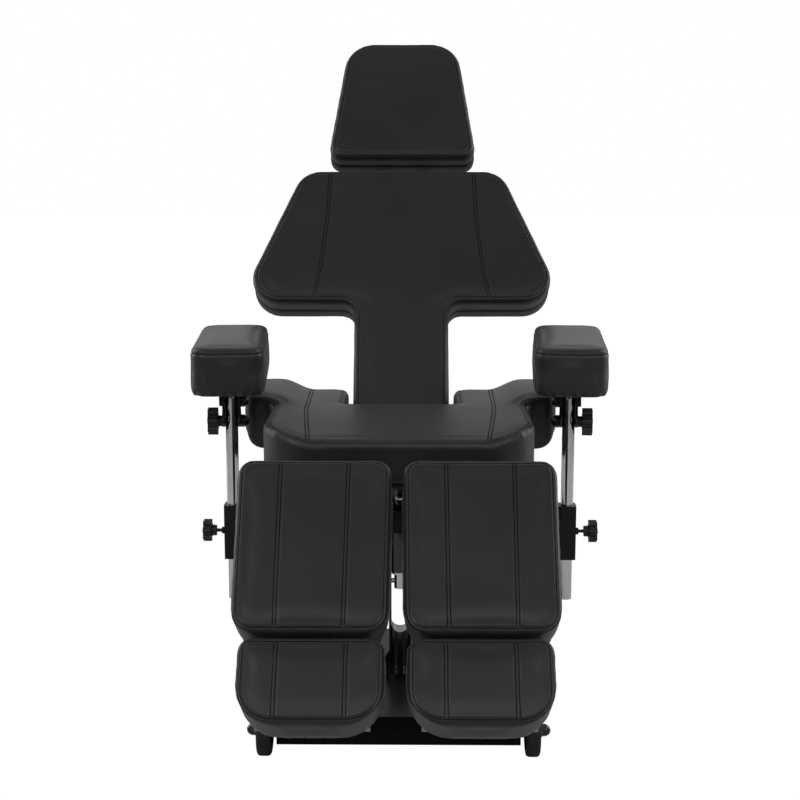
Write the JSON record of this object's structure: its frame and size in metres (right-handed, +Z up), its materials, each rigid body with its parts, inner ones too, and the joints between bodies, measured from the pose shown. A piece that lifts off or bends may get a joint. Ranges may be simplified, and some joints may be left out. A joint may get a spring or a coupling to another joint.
{
  "type": "tattoo chair",
  "caption": "Hydraulic tattoo chair with reclining winged back, sliding headrest, separate legs and feet, and armrests on knob-locked posts.",
  "frame": {"origin": "on the floor, under the middle of the chair's whole length at rest", "axes": "+X to the right seen from the front, +Y towards the back, +Z up"},
  "size_m": [0.8398, 1.3744, 1.3682],
  "materials": {
    "upholstery": "coated fabric, smooth black artificial leather",
    "black_paint": "semi-gloss black powder coat",
    "chrome": "polished chrome plate",
    "steel": "zinc-plated steel",
    "plastic": "moulded black plastic",
    "rubber": "black rubber",
    "board": "plywood under black lining cloth"
  },
  "bodies": {
    "base": {"base_cover": "black_paint", "base_frame": "black_paint", "levelling_feet": "rubber", "wheel_axle_bolts": "steel", "centre_yoke": "black_paint", "ram_rod": "chrome", "ram_pin": "chrome", "guide_outer_tubes": "black_paint", "pump_body": "black_paint"},
    "lift": {"ram_cylinder": "black_paint", "ram_gland": "chrome", "guide_inner_tubes": "chrome", "seat_frame": "black_paint", "hinge_shafts": "steel", "seat_board": "board", "seat_cushion": "upholstery", "seat_wing_left": "upholstery", "seat_wing_right": "upholstery", "arm_cross_beam": "black_paint", "arm_sleeve_left": "black_paint", "arm_sleeve_right": "black_paint"},
    "pedal": {"lift_pedal": "black_paint"},
    "back": {"back_frame": "black_paint", "back_board": "board", "back_cushion": "upholstery"},
    "headrest_slider": {"headrest_rods": "chrome"},
    "headrest": {"headrest_board": "black_paint", "headrest_cushion": "upholstery"},
    "back_lever": {"back_clamp_lever": "black_paint"},
    "seat_release": {"release_lever": "steel"},
    "wheel_left": {"front_tyre_left": "rubber", "front_hub_left": "plastic"},
    "leg_left": {"leg_frame_left": "black_paint", "leg_board_left": "board", "leg_cushion_left": "upholstery"},
    "foot_left": {"foot_rails_left": "steel", "foot_cushion_left": "upholstery"},
    "leg_lever_left": {"leg_clamp_lever_left": "black_paint"},
    "post_left": {"arm_post_left": "chrome"},
    "fork_left": {"arm_fork_left": "chrome", "arm_tilt_bolt_left": "black_paint"},
    "armrest_left": {"arm_board_left": "black_paint", "arm_pad_left": "upholstery"},
    "tilt_knob_left": {"tilt_knob_left": "plastic"},
    "height_knob_left": {"height_knob_left": "plastic"},
    "wheel_right": {"front_tyre_right": "rubber", "front_hub_right": "plastic"},
    "leg_right": {"leg_frame_right": "black_paint", "leg_board_right": "board", "leg_cushion_right": "upholstery"},
    "foot_right": {"foot_rails_right": "steel", "foot_cushion_right": "upholstery"},
    "leg_lever_right": {"leg_clamp_lever_right": "black_paint"},
    "post_right": {"arm_post_right": "chrome"},
    "fork_right": {"arm_fork_right": "chrome", "arm_tilt_bolt_right": "black_paint"},
    "armrest_right": {"arm_board_right": "black_paint", "arm_pad_right": "upholstery"},
    "tilt_knob_right": {"tilt_knob_right": "plastic"},
    "height_knob_right": {"height_knob_right": "plastic"}
  },
  "joints": [
    {"name": "lift_slide", "type": "slide", "parent": "base", "child": "lift", "axis": [0, 0, 1], "range_m": [0, 0.18]},
    {"name": "pedal_press", "type": "hinge", "parent": "base", "child": "pedal", "pos_m": [0.12, 0.238, 0.112], "axis": [1, 0, 0], "range_deg": [-15, 0], "stiffness_Nm_per_rad": 20, "springref_deg": 11.46},
    {"name": "back_recline", "type": "hinge", "parent": "lift", "child": "back", "pos_m": [0, 0.24172, 0.4955], "axis": [1, 0, 0], "range_deg": [-60, 8]},
    {"name": "headrest_extend", "type": "slide", "parent": "back", "child": "headrest_slider", "axis": [0, 0.5, 0.866], "range_m": [0, 0.08]},
    {"name": "headrest_tilt", "type": "hinge", "parent": "headrest_slider", "child": "headrest", "pos_m": [0, 0.58309, 1.10077], "axis": [1, 0, 0], "range_deg": [-30, 15]},
    {"name": "back_lever_turn", "type": "hinge", "parent": "lift", "child": "back_lever", "pos_m": [0, 0.2287, 0.42164], "axis": [1, 0, 0], "range_deg": [0, 45]},
    {"name": "seat_release_pull", "type": "hinge", "parent": "lift", "child": "seat_release", "pos_m": [0.148, -0.12, 0.512], "axis": [0, 1, 0], "range_deg": [0, 12], "stiffness_Nm_per_rad": 5, "springref_deg": -8.59},
    {"name": "wheel_left_spin", "type": "hinge", "parent": "base", "child": "wheel_left", "pos_m": [-0.255, -0.24, 0.05], "axis": [1, 0, 0], "continuous": true},
    {"name": "leg_left_lift", "type": "hinge", "parent": "lift", "child": "leg_left", "pos_m": [-0.1435, -0.29697, 0.52304], "axis": [1, 0, 0], "range_deg": [-50, 10]},
    {"name": "foot_left_extend", "type": "slide", "parent": "leg_left", "child": "foot_left", "axis": [0, -0.6428, -0.766], "range_m": [0, 0.1]},
    {"name": "leg_lever_left_turn", "type": "hinge", "parent": "lift", "child": "leg_lever_left", "pos_m": [-0.126, -0.27756, 0.4506], "axis": [1, 0, 0], "range_deg": [-45, 0]},
    {"name": "armrest_left_height", "type": "slide", "parent": "lift", "child": "post_left", "axis": [0, 0, 1], "range_m": [0, 0.1]},
    {"name": "armrest_left_swivel", "type": "hinge", "parent": "post_left", "child": "fork_left", "pos_m": [-0.337, 0.006, 0.57], "axis": [0, 0, 1], "range_deg": [-90, 90]},
    {"name": "armrest_left_tilt", "type": "hinge", "parent": "fork_left", "child": "armrest_left", "pos_m": [-0.337, 0.006, 0.642], "axis": [0.9976, 0.0698, 0], "range_deg": [-5, 28]},
    {"name": "tilt_knob_left_turn", "type": "hinge", "parent": "fork_left", "child": "tilt_knob_left", "pos_m": [-0.337, 0.006, 0.601], "axis": [0.9976, 0.0698, 0], "range_deg": [0, 360]},
    {"name": "height_knob_left_turn", "type": "hinge", "parent": "lift", "child": "height_knob_left", "pos_m": [-0.36, 0.006, 0.375], "axis": [1, 0, 0], "range_deg": [0, 360]},
    {"name": "wheel_right_spin", "type": "hinge", "parent": "base", "child": "wheel_right", "pos_m": [0.255, -0.24, 0.05], "axis": [1, 0, 0], "continuous": true},
    {"name": "leg_right_lift", "type": "hinge", "parent": "lift", "child": "leg_right", "pos_m": [0.1435, -0.29697, 0.52304], "axis": [1, 0, 0], "range_deg": [-50, 10]},
    {"name": "foot_right_extend", "type": "slide", "parent": "leg_right", "child": "foot_right", "axis": [0, -0.6428, -0.766], "range_m": [0, 0.1]},
    {"name": "leg_lever_right_turn", "type": "hinge", "parent": "lift", "child": "leg_lever_right", "pos_m": [0.126, -0.27756, 0.4506], "axis": [1, 0, 0], "range_deg": [-45, 0]},
    {"name": "armrest_right_height", "type": "slide", "parent": "lift", "child": "post_right", "axis": [0, 0, 1], "range_m": [0, 0.1]},
    {"name": "armrest_right_swivel", "type": "hinge", "parent": "post_right", "child": "fork_right", "pos_m": [0.337, 0.006, 0.57], "axis": [0, 0, 1], "range_deg": [-90, 90]},
    {"name": "armrest_right_tilt", "type": "hinge", "parent": "fork_right", "child": "armrest_right", "pos_m": [0.337, 0.006, 0.642], "axis": [0.9976, -0.0698, 0], "range_deg": [-5, 28]},
    {"name": "tilt_knob_right_turn", "type": "hinge", "parent": "fork_right", "child": "tilt_knob_right", "pos_m": [0.337, 0.006, 0.601], "axis": [0.9976, -0.0698, 0], "range_deg": [0, 360]},
    {"name": "height_knob_right_turn", "type": "hinge", "parent": "lift", "child": "height_knob_right", "pos_m": [0.36, 0.006, 0.375], "axis": [1, 0, 0], "range_deg": [0, 360]}
  ]
}
